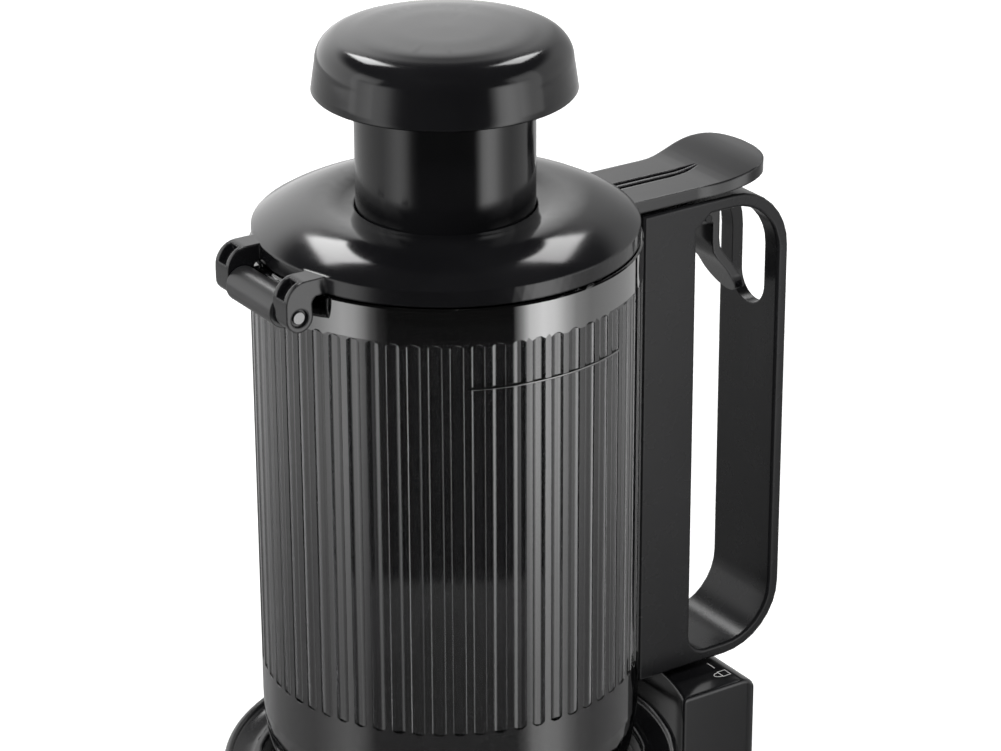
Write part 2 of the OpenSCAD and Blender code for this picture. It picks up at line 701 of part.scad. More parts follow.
// Auger: radii of the core and of the flight tips over its height
function core_r(t) = 33 - 18 * ease(t / 0.55) - 6 * ease((t - 0.5) / 0.5);
function strainer_in_r(t) = strainer_foot_r - strainer_wall
    + (strainer_r - strainer_foot_r) * t * auger_h / (strainer_top_z - floor_top_z);
function flight_r(t) = t < 0.36 ? strainer_in_r(t) - 1.6
    : core_r(t) + (strainer_in_r(0.36) - 1.6 - core_r(0.36)) * (1 - ease((t - 0.36) / 0.62));
flight_steps = 60;

module flight(start, turns) {
    ts = [for (i = [0:flight_steps]) 0.03 + 0.93 * i / flight_steps];
    half = 1.6;
    pts = [for (t = ts) let (a = start - turns * 360 * t, z = auger_z + t * auger_h,
            c = cos(a), s = sin(a), r0 = core_r(t) - 3, r1 = max(flight_r(t), r0 + 3.2))
        each [[r0 * c, r0 * s, z - 2 * half], [r1 * c, r1 * s, z - half],
              [r1 * c, r1 * s, z + half], [r0 * c, r0 * s, z + 2 * half]]];
    n = flight_steps;
    faces = concat([[0, 1, 2, 3]],
        [for (i = [0:n - 1], k = [0:3]) let (a = 4 * i, b = a + 4, j = (k + 1) % 4)
            each [[a + k, b + k, b + j], [a + k, b + j, a + j]]],
        [[4 * n + 3, 4 * n + 2, 4 * n + 1, 4 * n]]);
    polyhedron(pts, faces);
}

module auger() color(satin) difference() {
    union() {
        rotate_extrude($fn = 48) polygon(concat([[0, auger_z], [core_r(0), auger_z],
            [core_r(0), auger_z + 3]],
            [for (i = [1:14]) [core_r(i / 15), auger_z + 3 + i * (auger_h - 7) / 15]],
            [[6, auger_top_z - 1], [0, auger_top_z]]));
        flight(0, 1.75);
        flight(180, 1.75);
    }
    cylinder_boss(hub_r + 0.5, auger_z - 1, socket_z);
    translate([0, 0, socket_z - 1]) cylinder(r = hex_r + 0.25, h = socket_h + 1, $fn = 6);
}

module juice_cap() color(satin) difference() {
    union() {
        translate([0, 0, spout_z]) rod_y(cap_r, -spout_reach - 3.6, -spout_reach - gap);
        translate([0, cap_pin_y, cap_pin_z]) rod_x(2.8, -4.1, 4.1);
        block([-4.1, -spout_reach - 3.6, spout_z], [4.1, -spout_reach - gap, cap_pin_z]);
        block([-6, -spout_reach - 9, spout_z - cap_r + 0.5], [6, -spout_reach - 3, spout_z - cap_r + 3]);
    }
    translate([0, cap_pin_y, cap_pin_z]) rod_x(cap_pin_r + run, -5, 5);
    translate([0, 0, spout_z]) rod_y(cap_r - 1.4, -spout_reach - 1.8, -spout_reach);
}

module juice_cap_pin() color(steel) translate([0, cap_pin_y, cap_pin_z]) rod_x(cap_pin_r, -7.5, 7.5);

module juice_cap_seal() color(seal_grey) translate([0, 0, spout_z]) difference() {
    rod_y(cap_r - 1.4, -spout_reach - 1.8, -spout_reach - gap);
    rod_y(4, -spout_reach - 1, -spout_reach);
}

module pulp_plug() color(seal_grey) {
    z = floor_z - duct_h - duct_wall;
    block([-66, -6, z], [-50, 6, z + duct_wall]);
    block([-68, -8, z - 1.4], [-48, 8, z]);
}

// ---------------------------------------------------------------- hopper
module hopper() color(smoke) difference() {
    union() {
        rotate_extrude() polygon(concat([[hopper_r - hopper_wall, rim_z], [hopper_r - 0.6, rim_z],
            [hopper_r, rim_z - 0.6]], arc(shoulder_c, shoulder_z, shoulder_r, 0, -step_a, 10),
            [[neck_r, step_z], [neck_r, neck_z], [neck_in_r, neck_z]],
            arc(shoulder_c, shoulder_z, shoulder_r - hopper_wall, -neck_in_a, 0, 10)));
        translate([hinge_x, 0, hinge_z]) rod_y(knuckle_r, -knuckle_w / 2, knuckle_w / 2);
        block([hinge_x, -knuckle_w / 2, hinge_z - knuckle_r],
            [-hopper_r + 2.4, knuckle_w / 2, rim_z - 1.2]);
        for (a = lug_angles) rotate(a - lug_a / 2) rotate_extrude(angle = lug_a)
            translate([neck_r - 1, ledge_top_z - ledge_h - gap - lug_h])
                square([lug_r - neck_r + 1, lug_h]);
        for (d = screw_drops) translate([0, 0, rim_z - d]) rod_x(boss_r, hopper_r - 1.5, boss_x);
        rotate([0, 0, -116]) translate([0, 0, rim_z - fill_line_drop]) rotate_extrude(angle = 52)
            translate([hopper_r - 2, -0.75]) square([2.3, 1.5]);
    }
    for (i = [0:flute_count - 1]) let (a = i * 360 / flute_count)
        if (abs(a > 180 ? a - 360 : a) > plain_half_a) rotate(a)
            translate([hopper_r - flute_depth + flute_r, 0, flute_foot_z])
                cylinder(r = flute_r, h = flute_len, $fn = 48);
    translate([hinge_x, 0, hinge_z]) rod_y(hinge_pin_r + run, -knuckle_w, knuckle_w);
    for (d = screw_drops) translate([0, 0, rim_z - d]) rod_x(post_screw_r, hopper_r + 2, boss_x + 1);
}

module hopper_gasket() color(seal_grey)
    ring(neck_r, neck_r + step_w, step_z - gasket_h, step_z);

module handle() color(black) difference() {
    union() {
        along_y(handle_w) polygon(concat([[column_in_x, handle_top_z]],
            arc(handle_reach - handle_r, handle_top_z - handle_r, handle_r, 90, 0),
            arc(handle_reach - handle_r, handle_foot_z + handle_r, handle_r, 0, -90),
            [[column_in_x, handle_foot_z]]));
        block([hopper_r - 8, -web_w / 2, handle_foot_z + 12],
            [column_in_x + 1, web_w / 2, handle_top_z - 3]);
        for (s = [-1, 1]) translate([0, s * (trigger_w / 2 + gap + 1.5), 0]) trigger_ear();
    }
    cylinder_boss(hopper_r, handle_foot_z - 1, rim_z);
    handle_loop();
    thumb_slot();
    block([trigger_x - 3.5, -trigger_w / 2 - 0.4, handle_top_z - top_bar_t - 1],
        [trigger_x + 5.5, trigger_w / 2 + 0.4, rim_z]);
    translate([trigger_x, 0, trigger_z]) rod_y(trigger_pin_r, -20, 20);
    for (d = screw_drops) translate([0, 0, rim_z - d]) {
        rod_x(boss_r + 0.05, hopper_r - 2, boss_x + 0.05);
        rod_x(post_screw_r + 0.2, boss_x, column_x);
        rod_x(4.2, column_x - 6, column_x + 1);
    }
    translate([column_in_x + 18.4, 0]) cylinder_boss(4, handle_foot_z - 1, handle_foot_z + 6);
}

// Opening of the handle loop
module handle_loop() along_y(handle_w + 2) {
    x0 = column_x;
    x1 = handle_reach - band_t;
    z0 = handle_foot_z + foot_bar_t;
    z1 = handle_top_z - top_bar_t;
    r = handle_r - band_t;
    polygon(concat(arc(x0 + 8, z0 + 8, 8, 180, 270), arc(x1 - r, z0 + r, r, -90, 0),
        arc(x1 - r, z1 - r, r, 0, 90), [[x0 + 6.6, z1], [x0, z1 - 5.5]]));
}

// Slot through the outer band that the thumb reaches the trigger by
module thumb_slot() {
    zc = rim_z - slot_drop + slot_w / 2;
    translate([0, 0, zc]) rod_x(slot_w / 2, handle_reach - 14, handle_reach + 1);
    block([handle_reach - 12, -slot_w / 2, zc], [handle_reach + 1, slot_w / 2, rim_z - 12]);
}

module trigger_ear() {
    translate([trigger_x, 0, trigger_z]) rod_y(barrel_r + 0.6, -1.5, 1.5);
    block([trigger_x - 4, -1.5, trigger_z], [trigger_x + 4, 1.5, handle_top_z - top_bar_t + 0.5]);
}

module handle_screws() color(steel) for (d = screw_drops) translate([0, 0, rim_z - d]) {
    rod_x(post_screw_r, hopper_r + 3, column_x - 5.9);
    rod_x(3.6, column_x - 6, column_x - 3.4);
}

module handle_magnet() color(steel) translate([column_in_x + 18.4, 0])
    cylinder_boss(4, handle_foot_z + 0.5, handle_foot_z + 6);

module trigger() color(black) difference() {
    w = trigger_w - 0.2;
    round_z = rim_z - tip_drop + w / 2 + 0.5;         // centre of the blade's round end
    end_x = handle_reach - band_t - 0.2;
    union() {
        intersection() {
            along_y(w) translate([0, rim_z]) trigger_blade();
            union() {
                block([trigger_x, -w / 2, round_z], [end_x, w / 2, rim_z - blade_drop + 0.6]);
                translate([0, 0, round_z]) rod_x(w / 2, trigger_x, end_x);
            }
        }
        for (s = [-1, 1]) translate([0, s * (coil_half + w / 2) / 2, 0])
            trigger_side((w / 2 - coil_half) / 2);
        block([trigger_x - 2.5, -w / 2, rim_z - hook_drop - 2.4],
            [trigger_x + 2, w / 2, rim_z - hook_drop]);
    }
    translate([trigger_x, 0, trigger_z]) rod_y(trigger_pin_r + run, -20, 20);
}

// Half of the trigger's barrel with its web and hook arm
module trigger_side(half) {
    translate([trigger_x, 0, trigger_z]) rod_y(barrel_r, -half, half);
    block([trigger_x, -half, rim_z - 16.4], [trigger_x + 5, half, rim_z - 9.6]);
    block([trigger_x - 2.5, -half, trigger_z], [trigger_x + 2, half, rim_z - hook_drop - 1]);
}

// Side outline of the trigger blade, measured from the hopper rim
module trigger_blade() {
    t = trigger_t;
    slope = [[0.03, 0.18], [0.16, 0.315], [0.38, 0.49], [0.58, 0.71], [0.845, 1],
        [1, 0.92], [0.755, 0.63], [0.525, 0.4], [0.315, 0.22]];
    polygon(concat([[blade_x, -blade_drop], [blade_x, -bend_drop]],
        [for (p = slope) [blade_x + (tip_x - blade_x) * p[0], -bend_drop - (tip_drop - bend_drop) * p[1]]],
        [[blade_x + t + 0.4, -bend_drop - 2.5], [blade_x + t, -bend_drop + 1],
            [blade_x + t, -blade_drop]]));
}

module trigger_pin() color(steel) translate([trigger_x, 0, trigger_z])
    rod_y(trigger_pin_r, -trigger_w / 2 - gap - 3, trigger_w / 2 + gap + 3);

// Torsion spring round the trigger pin, with one leg under the bar and one on the blade
module trigger_spring() color(steel) translate([trigger_x, 0, trigger_z]) {
    turns = 4.25;
    steps = 16 * turns;
    coil_r = 2.45;
    wire_r = 0.4;
    pts = [for (i = [0:steps]) let (a = 360 * turns * i / steps, y = -2.2 + 4.4 * i / steps)
        for (k = [0:5]) let (r = coil_r + wire_r * cos(k * 60))
            [r * cos(a), y + wire_r * sin(k * 60), r * sin(a)]];
    faces = concat([[0, 1, 2, 3, 4, 5]],
        [for (i = [0:steps - 1], k = [0:5]) let (a = 6 * i, b = a + 6, j = (k + 1) % 6)
            each [[a + k, b + j, a + j], [a + k, b + k, b + j]]],
        [[for (k = [5:-1:0]) 6 * steps + k]]);
    polyhedron(pts, faces);
    translate([coil_r, -2.2, 0]) rotate([0, 165, 0]) cylinder(r = wire_r, h = 6.5, $fn = 16);
    translate([0, 2.2, coil_r]) rotate([0, -88, 0]) cylinder(r = wire_r, h = 4.4, $fn = 16);
}

// ---------------------------------------------------------------- lid
// Outer outline of the dome from the edge to the pusher's opening, measured from the rim
function dome(in) = let (e = lid_edge_h - in, c = lid_crest_h - in, r = lid_r - in, b = sleeve_in_r)
    concat([[r, e - 0.7], [r - 0.7, e]],
        [for (i = [1:7]) let (t = i / 8) [r - 0.7 - (r - 45.7) * t, e + (c - e) * sin(90 * pow(t, 0.9))]],
        [[45, c], [41, c - 0.3], [37.5, c - 1.1], [b + 1.8, c - 1.7], [b + 0.3, c - 1.8]]);

module lid() color(black) difference() {
    union() {
        translate([0, 0, rim_z]) rotate_extrude() polygon(concat([[lid_r, lid_gap]], dome(0),
            [[sleeve_in_r, lid_crest_h - 2.1], [sleeve_in_r, sleeve_foot], [sleeve_out_r, sleeve_foot],
             [sleeve_out_r, lid_crest_h - 4.6], [41, lid_crest_h - 2.8], [45, lid_crest_h - lid_skin],
             [52, lid_crest_h - 3.6], [skirt_r - 2.2, 7], [skirt_r - 2.2, -skirt_h], [skirt_r, -skirt_h],
             [skirt_r, 5.8], [lid_r - lid_skin, 4.4], [lid_r - lid_skin, lid_gap]]));
        for (s = [-1, 1]) translate([hinge_x, s * (ear_in_y + ear_w / 2), hinge_z]) ear();
        lever();
    }
    translate([hinge_x, 0, hinge_z]) {
        rod_y(hinge_pin_r, -ear_out_y - 1, ear_out_y + 1);
        rod_y(hinge_pin_r + 1.2, -ear_out_y - 1, -ear_out_y + 1.2);
        rod_y(hinge_pin_r + 1.2, ear_out_y - 1.2, ear_out_y + 1);
    }
}

// One hinge ear, centred on the pin, with the recess in its shoulder
module ear() difference() {
    top = hinge_drop + lid_edge_h - 0.3;
    big = top - 4.9;
    inset = 12.8;
    along_y(ear_w) polygon(concat(arc(0, 0, ear_r, 180, 360, 12),
        [[ear_r - 0.3, hinge_drop - 2], [ear_r + 0.2, hinge_drop - 0.6], [ear_r + 1.3, hinge_drop + 0.4],
         [inset, hinge_drop + 0.4], [inset, top]], arc(big - ear_r, top - big, big, 90, 180, 10)));
    translate([big - ear_r, 0, top - big]) along_y(5) polygon(concat(arc(0, 0, big - 3, 108, 166, 4),
        arc(0, 0, big + 2, 166, 108, 4)));
}

// Thumb lever that carries on from the lid over the handle
function lever_rise(x) = 5.2 * ease((x - 103) / 30);
module lever() difference() {
    x0 = 62;
    x1 = lever_reach + lever_w / 2;
    xs = [for (i = [0:10]) 100 + (x1 - 100) * i / 10];
    intersection() {
        along_y(lever_w) translate([0, rim_z]) polygon(concat([[x0, lever_top]],
            [for (x = xs) [x, lever_top + lever_rise(x)]],
            [for (i = [10:-1:0]) [xs[i], lever_top - lever_t + lever_rise(xs[i])]],
            [[hopper_r + 0.8, lever_top - lever_t], [hopper_r + 0.8, lid_gap], [x0, lid_gap]]));
        translate([0, 0, rim_z - 10]) linear_extrude(40) union() {
            translate([x0, -lever_w / 2]) square([lever_reach - x0, lever_w]);
            translate([lever_reach, 0]) circle(r = lever_w / 2);
        }
    }
    for (s = [0, 1]) mirror([0, s, 0]) translate([0, 0, rim_z + lever_top - 3]) linear_extrude(10)
        polygon([[lid_r + 0.5, 0.6], [lid_r + 0.5, 3.1], [96, 3.1], [104, 2.2], [110, 0.6]]);
}

module lid_hinge_pin() color(steel) translate([hinge_x, 0, hinge_z])
    rod_y(hinge_pin_r, -ear_out_y + 0.5, ear_out_y - 0.5);

module lid_gasket() color(seal_grey) translate([0, 0, rim_z]) rotate_extrude()
    polygon([[skirt_r, -6.4], [skirt_r + 1.1, -5.2], [skirt_r + 1.1, -4.4], [skirt_r, -3.2]]);

module pusher_wiper() color(seal_grey) translate([0, 0, rim_z + sleeve_foot - wiper_h])
    ring(pusher_r + run, sleeve_out_r, 0, wiper_h);

// ---------------------------------------------------------------- pusher
foot_top = sleeve_foot - wiper_h - gap;           // top of the pusher's foot, from the rim
hub_h = 18;                                       // tube length held in the cap

module pusher_tube() color(black) translate([0, 0, rim_z])
    ring(pusher_r - pusher_wall, pusher_r, foot_top, cap_lift + hub_h);

module pusher_cap() color(black) translate([0, 0, rim_z + cap_lift]) rotate_extrude() {
    r = cap_d / 2;
    s = r - 1.5;
    polygon(concat([[r - 0.6, 0], [r, 0.7], [s + 0.5, cap_h - 14.6]],
        arc(s - 9.6, cap_h - 11.4, 9.6, 0, 78, 8),
        [[s - 16, cap_h - 0.8], [s - 28, cap_h - 0.2], [0, cap_h], [0, hub_h + 1.4], [s - 14, hub_h + 0.6],
         [s - 5.6, hub_h - 3.4], [s - 2.8, hub_h - 8.4], [r - 3.4, 0]]));
    translate([pusher_r, 2]) square([2.6, hub_h - 1]);
}

module pusher_foot() color(black) translate([0, 0, rim_z]) rotate_extrude() {
    polygon([[0, foot_top - 5.6], [pusher_r + 1.3, foot_top - 5.6], [pusher_r + 2.5, foot_top - 4.4],
        [pusher_r + 2.5, foot_top], [pusher_r - pusher_wall, foot_top],
        [pusher_r - pusher_wall, foot_top + 8],
        [pusher_r - pusher_wall - 2, foot_top + 8], [pusher_r - pusher_wall - 2, foot_top - 2.6],
        [0, foot_top - 2.6]]);
}

base_housing();
bottom_cover();
rubber_feet();
cover_screws();
motor_can();
motor_pinion();
gear_cluster_a();
gear_cluster_b();
drive_gear();
drive_shaft();
gear_plate_lower();
gear_plate_upper();
gear_pins();
plate_posts();
control_board();
selector_switch();
selector_knob();
inlet_bush();
shaft_seal();
reed_switch();
juicing_bowl();
bowl_collar();
bowl_seal();
strainer();
auger();
juice_cap();
juice_cap_pin();
juice_cap_seal();
pulp_plug();
hopper();
hopper_gasket();
handle();
handle_screws();
handle_magnet();
trigger();
trigger_pin();
trigger_spring();
lid();
lid_hinge_pin();
lid_gasket();
pusher_wiper();
pusher_tube();
pusher_cap();
pusher_foot();
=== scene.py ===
import json
import math

import bmesh
import bpy
from mathutils import Matrix, Vector

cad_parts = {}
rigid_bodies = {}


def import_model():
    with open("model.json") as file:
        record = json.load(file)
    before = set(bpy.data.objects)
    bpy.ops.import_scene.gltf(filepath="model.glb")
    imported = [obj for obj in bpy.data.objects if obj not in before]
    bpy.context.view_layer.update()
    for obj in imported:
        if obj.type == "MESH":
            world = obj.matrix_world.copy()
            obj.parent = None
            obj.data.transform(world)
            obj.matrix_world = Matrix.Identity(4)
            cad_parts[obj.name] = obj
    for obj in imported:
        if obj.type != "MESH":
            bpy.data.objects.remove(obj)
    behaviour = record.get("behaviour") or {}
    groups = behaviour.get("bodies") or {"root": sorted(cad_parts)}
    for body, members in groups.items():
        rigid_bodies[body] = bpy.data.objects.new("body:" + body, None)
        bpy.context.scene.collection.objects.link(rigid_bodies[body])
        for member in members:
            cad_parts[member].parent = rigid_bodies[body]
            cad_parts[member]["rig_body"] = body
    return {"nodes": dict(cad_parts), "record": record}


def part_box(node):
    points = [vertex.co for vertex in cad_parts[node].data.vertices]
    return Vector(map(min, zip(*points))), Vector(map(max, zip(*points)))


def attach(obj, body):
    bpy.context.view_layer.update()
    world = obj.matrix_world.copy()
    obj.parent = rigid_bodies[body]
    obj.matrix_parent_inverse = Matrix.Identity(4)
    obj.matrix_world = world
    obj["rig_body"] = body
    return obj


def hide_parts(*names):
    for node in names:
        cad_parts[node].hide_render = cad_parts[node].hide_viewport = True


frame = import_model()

NODES = frame["nodes"]
SLOT_OF = {part["node"]: part["material_slot"] for part in frame["record"]["subparts"]}
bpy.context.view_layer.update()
MM = 0.001


# ---------------------------------------------------------------- materials
def new_material(name):
    mat = bpy.data.materials.new(name)
    mat.use_nodes = True
    tree = mat.node_tree
    return mat, tree, tree.nodes["Principled BSDF"]


def object_coords(tree, scale=(1, 1, 1)):
    coord = tree.nodes.new("ShaderNodeTexCoord")
    mapping = tree.nodes.new("ShaderNodeMapping")
    mapping.inputs["Scale"].default_value = scale
    tree.links.new(coord.outputs["Object"], mapping.inputs["Vector"])
    return mapping.outputs["Vector"]


def noise(tree, vector, scale, detail=2.0):
    tex = tree.nodes.new("ShaderNodeTexNoise")
    tex.inputs["Scale"].default_value = scale
    tex.inputs["Detail"].default_value = detail
    tex.inputs["Roughness"].default_value = 0.5
    tree.links.new(vector, tex.inputs["Vector"])
    return tex.outputs["Fac"]


def ramp(tree, value, stops):
    node = tree.nodes.new("ShaderNodeValToRGB")
    elements = node.color_ramp.elements
    while len(elements) < len(stops):
        elements.new(0.5)
    for element, (place, colour) in zip(elements, stops):
        element.position = place
        element.color = (*colour, 1)
    tree.links.new(value, node.inputs["Fac"])
    return node.outputs["Color"]


def value_range(tree, value, low, high, start=0.0, end=1.0):
    """Takes values from start to end over to values from low to high."""
    node = tree.nodes.new("ShaderNodeMapRange")
    node.inputs["From Min"].default_value = start
    node.inputs["From Max"].default_value = end
    node.inputs["To Min"].default_value = low
    node.inputs["To Max"].default_value = high
    tree.links.new(value, node.inputs["Value"])
    return node


def bump(tree, bsdf, height, distance, strength, round_edge=0):
    """Fine relief, over edges that catch the light as moulded ones do."""
    node = tree.nodes.new("ShaderNodeBump")
    node.inputs["Distance"].default_value = distance
    node.inputs["Strength"].default_value = strength
    tree.links.new(height, node.inputs["Height"])
    tree.links.new(node.outputs["Normal"], bsdf.inputs["Normal"])
    if round_edge:
        edge = tree.nodes.new("ShaderNodeBevel")
        edge.samples = 6
        edge.inputs["Radius"].default_value = round_edge
        tree.links.new(edge.outputs["Normal"], node.inputs["Normal"])


def moulded(name, colour, rough, grain=0.0, ior=1.5, round_edge=0):
    """Moulded plastic: a little colour and gloss variation, and orange peel or grain."""
    mat, tree, bsdf = new_material(name)
    coords = object_coords(tree)
    lighter = tuple(min(1, c * 1.25 + 0.002) for c in colour)
    tint = ramp(tree, noise(tree, coords, 35), [(0.3, colour), (0.75, lighter)])
    tree.links.new(tint, bsdf.inputs["Base Color"])
    gloss = value_range(tree, noise(tree, coords, 120, 3), rough - 0.02, rough + 0.04)
    tree.links.new(gloss.outputs["Result"], bsdf.inputs["Roughness"])
    bsdf.inputs["IOR"].default_value = ior
    if grain:
        bump(tree, bsdf, noise(tree, coords, 900, 1), grain * MM, 0.25, round_edge)
    else:
        bump(tree, bsdf, noise(tree, coords, 60, 1), 0.02 * MM, 0.15, round_edge)
    return mat


def smoked(name, colour, coat_ior=None):
    """Smoked clear plastic, with a coat where its face mirrors more strongly."""
    mat, tree, bsdf = new_material(name)
    coords = object_coords(tree)
    bsdf.inputs["Base Color"].default_value = (*colour, 1)
    gloss = value_range(tree, noise(tree, coords, 80, 2), 0.03, 0.06)
    tree.links.new(gloss.outputs["Result"], bsdf.inputs["Roughness"])
    bsdf.inputs["Transmission Weight"].default_value = 1.0
    bsdf.inputs["IOR"].default_value = 1.85
    if coat_ior:
        bsdf.inputs["Coat Weight"].default_value = 1.0
        bsdf.inputs["Coat Roughness"].default_value = 0.03
        bsdf.inputs["Coat IOR"].default_value = coat_ior
    return mat


def brushed_steel(name, colour, rough, stretch):
    mat, tree, bsdf = new_material(name)
    coords = object_coords(tree, stretch)
    lines = noise(tree, coords, 300, 3)
    darker = tuple(c * 0.85 for c in colour)
    tree.links.new(ramp(tree, lines, [(0.3, darker), (0.7, colour)]), bsdf.inputs["Base Color"])
    gloss = value_range(tree, lines, rough, rough + 0.12)
    tree.links.new(gloss.outputs["Result"], bsdf.inputs["Roughness"])
    bsdf.inputs["Metallic"].default_value = 1.0
    bump(tree, bsdf, lines, 0.01 * MM, 0.3)
    return mat


black_gloss = moulded("black_gloss", (0.008, 0.008, 0.009), 0.12, round_edge=1.0 * MM)
black_satin = moulded("black_satin", (0.010, 0.010, 0.011), 0.26, grain=0.02, ior=1.34,
                      round_edge=0.6 * MM)
smoke = smoked("smoked_clear", (0.065, 0.065, 0.067))
smoke_rim = smoked("smoked_rim", (0.01, 0.01, 0.01), coat_ior=2.0)
grey_satin = moulded("grey_satin", (0.03, 0.03, 0.031), 0.3, grain=0.03, round_edge=0.6 * MM)
steel = brushed_steel("steel", (0.72, 0.72, 0.73), 0.22, (1, 1, 8))
pin_steel = brushed_steel("pin_steel", (0.30, 0.30, 0.30), 0.35, (1, 1, 1))
rubber = moulded("rubber", (0.02, 0.02, 0.02), 0.65, grain=0.05)
silicone = moulded("silicone", (0.05, 0.05, 0.052), 0.5, grain=0.02)
nylon = moulded("nylon", (0.82, 0.81, 0.76), 0.4)
board_green = moulded("board", (0.02, 0.14, 0.06), 0.35)
white_print = moulded("white_print", (0.75, 0.75, 0.74), 0.45)

FINISH = {
    "black_gloss": black_gloss, "black_satin": black_satin, "smoke": smoke, "steel": steel,
    "rubber": rubber, "seal_grey": silicone, "white_nylon": nylon, "board": board_green,
}
OWN_FINISH = {"lid_hinge_pin": pin_steel, "juice_cap_pin": pin_steel, "trigger_pin": black_satin}
for name, slot in SLOT_OF.items():
    NODES[name].data.materials.clear()
    NODES[name].data.materials.append(OWN_FINISH.get(name, FINISH[slot]))


# ---------------------------------------------------------------- mesh work
def only(piece):
    """Selects one piece and makes it active."""
    bpy.ops.object.select_all(action="DESELECT")
    piece.select_set(True)
    bpy.context.view_layer.objects.active = piece


def merged_copy(node, flat=0.4):
    """Copy of a part that rides and stands for it, with faces joined up to a fold in degrees."""
    piece = bpy.data.objects.new(node + "_moulding", NODES[node].data.copy())
    bpy.context.scene.collection.objects.link(piece)
    only(piece)
    bpy.ops.object.mode_set(mode="EDIT")
    bpy.ops.mesh.select_all(action="SELECT")
    bpy.ops.mesh.remove_doubles(threshold=0.005 * MM)
    bpy.ops.mesh.dissolve_limited(angle_limit=math.radians(flat))
    bpy.ops.mesh.select_all(action="DESELECT")
    bpy.ops.mesh.select_mode(type="EDGE")
    bpy.ops.object.mode_set(mode="OBJECT")
    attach(piece, NODES[node]["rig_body"])
    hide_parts(node)
    return piece


def cut(piece, at, across):
    """Adds edges all round a piece where a plane meets it."""
    only(piece)
    bpy.ops.object.mode_set(mode="EDIT")
    bpy.ops.mesh.select_all(action="SELECT")
    bpy.ops.mesh.bisect(plane_co=at, plane_no=across)
    bpy.ops.object.mode_set(mode="OBJECT")


def sharp_edges(mesh, angle, wanted):
    """Selects the edges that fold more than the angle and lie where wanted(middle) says."""
    work = bmesh.from_edit_mesh(mesh)
    for edge in work.edges:
        folds = len(edge.link_faces) == 2 and edge.calc_face_angle(0) > math.radians(angle)
        edge.select_set(folds and wanted((edge.verts[0].co + edge.verts[1].co) / 2))
    bmesh.update_edit_mesh(mesh)


def round_edges(piece, width, wanted, clamp=True):
    """Rounds the sharp edges that lie where wanted(middle) says, by so many millimetres."""
    only(piece)
    bpy.ops.object.mode_set(mode="EDIT")
    sharp_edges(piece.data, 40, wanted)
    bpy.ops.mesh.bevel(offset=width * MM, segments=3, affect="EDGES", clamp_overlap=clamp)
    bpy.ops.object.mode_set(mode="OBJECT")


def smooth_curves(piece):
    """Smooth over curves and crisp at edges, with flat faces kept flat."""
    only(piece)
    bpy.ops.object.shade_smooth_by_angle(angle=math.radians(30), keep_sharp_edges=False)
    even = piece.modifiers.new("even_shading", "WEIGHTED_NORMAL")
    even.keep_sharp = True
    bpy.ops.object.modifier_apply(modifier=even.name)


def even_round(piece):
    """Gives a turned piece the same normals all the way round."""
    mesh = piece.data
    same_place = 0.02 * MM
    same_way = 0.9
    rings = {}
    for corner in mesh.loops:
        at = mesh.vertices[corner.vertex_index].co
        out = Vector((at.x, at.y, 0))
        normal = mesh.corner_normals[corner.index].vector
        side = Vector((normal.dot(out.normalized()), normal.z)).normalized()
        place = (round(out.length / same_place), round(at.z / same_place))
        groups = rings.setdefault(place, [])
        group = next((g for g in groups if g[0].normalized().dot(side) > same_way), None)
        if group is None:
            group = [Vector((0, 0)), []]
            groups.append(group)
        group[0] += side
        group[1].append((corner.index, out.normalized()))
    normals = [None] * len(mesh.loops)
    for mean, members in (group for groups in rings.values() for group in groups):
        even = mean.normalized()
        for index, out in members:
            normals[index] = (out * even.x + Vector((0, 0, even.y))).normalized()
    mesh.normals_split_custom_set(normals)


def true_cylinder(piece):
    """Exact normals on the walls round the axis, whatever their triangles."""
    mesh = piece.data
    normals = [Vector(corner.vector) for corner in mesh.corner_normals]
    for face in mesh.polygons:
        outward = Vector((face.center.x, face.center.y, 0)).normalized()
        facing = outward.dot(face.normal)
        if abs(facing) < math.cos(math.radians(2.5)) or face.center.x < -HOPPER_R:
            continue
        for corner in face.loop_indices:
            at = mesh.vertices[mesh.loops[corner].vertex_index].co
            normals[corner] = Vector((at.x, at.y, 0)).normalized() * math.copysign(1, facing)
    mesh.normals_split_custom_set(normals)


def finish_faces(piece, finish, wanted):
    """Gives the faces whose middle lies where wanted(middle) says a finish of their own."""
    piece.data.materials.append(finish)
    for face in piece.data.polygons:
        if wanted(face.center):
            face.material_index = len(piece.data.materials) - 1


# ---------------------------------------------------------------- hopper
HOPPER_R = 70 * MM
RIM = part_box("hopper")[1].z
FLUTE_TOP = RIM - 12.9 * MM
FLUTE_FOOT = RIM - 163.5 * MM
FLUTE_PITCH = 6
DEEPEST = 1.2 * MM
# Half a flute from its middle, as (degrees as cut, degrees, depth and arch of the moulded form):
# a nearly flat floor between two short steep sides, with arched ends
FLUTE_FORM = [(0.31, 0.50, 0.48, 0), (0.69, 0.69, 0, 0.1), (0.92, 1.72, 0.40, 0.8),
              (1.51, 1.89, 0.13, 1.0), (2.06, 2.06, 0, 1.2)]
FILL_LINE = RIM - 29.45 * MM
# The bead along the fill line, with the azimuth of each end and the turn from there to the bead
BEAD_R = 0.5 * MM
BEAD_ROUND = HOPPER_R - 0.15 * MM
BEAD_ENDS = ((-116, 1), (-64, -1))


